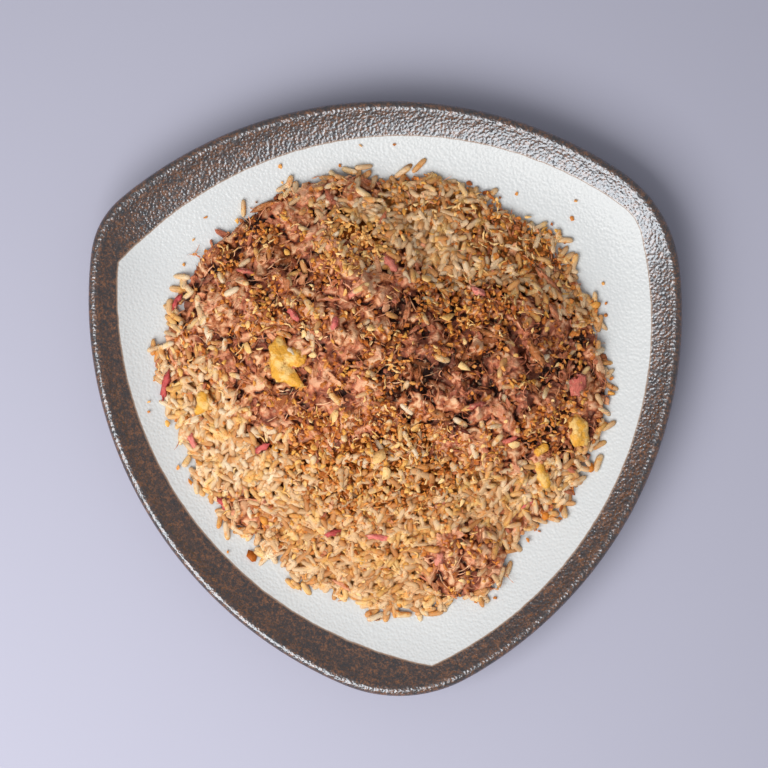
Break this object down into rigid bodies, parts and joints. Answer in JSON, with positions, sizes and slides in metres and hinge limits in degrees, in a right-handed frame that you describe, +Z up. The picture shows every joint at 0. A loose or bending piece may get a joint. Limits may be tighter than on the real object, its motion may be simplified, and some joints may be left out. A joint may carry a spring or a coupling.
{
  "type": "fried rice plate",
  "caption": "Heap of fried rice with shredded meat, fried garlic and egg on a three-cornered stoneware coupe plate with a pebbled brown rim.",
  "frame": {"origin": "middle of the plate's bounding box, on the plane that its foot stands on", "axes": "+Z up through the heap, +X to the right and +Y to the far side in the view from above, with one blunt corner of the plate at the near side"},
  "size_m": [0.2908, 0.2914, 0.0578],
  "materials": {
    "plate_glaze": "white glaze with fine pebbling, and a speckled brown pebbled glaze on the rim",
    "rice": "moist, lightly oiled cooked grains, pale to toasted brown",
    "meat": "frayed pinkish-brown fibres, slightly oily",
    "egg": "soft moist yellow curd"
  },
  "bodies": {
    "root": {"plate": "plate_glaze", "rice_heap": "rice", "shredded_meat": "meat", "meat_clump_near": "meat", "egg_curd_large": "egg", "egg_curd_right": "egg", "egg_curd_near": "egg", "egg_curd_left": "egg"}
  },
  "joints": []
}
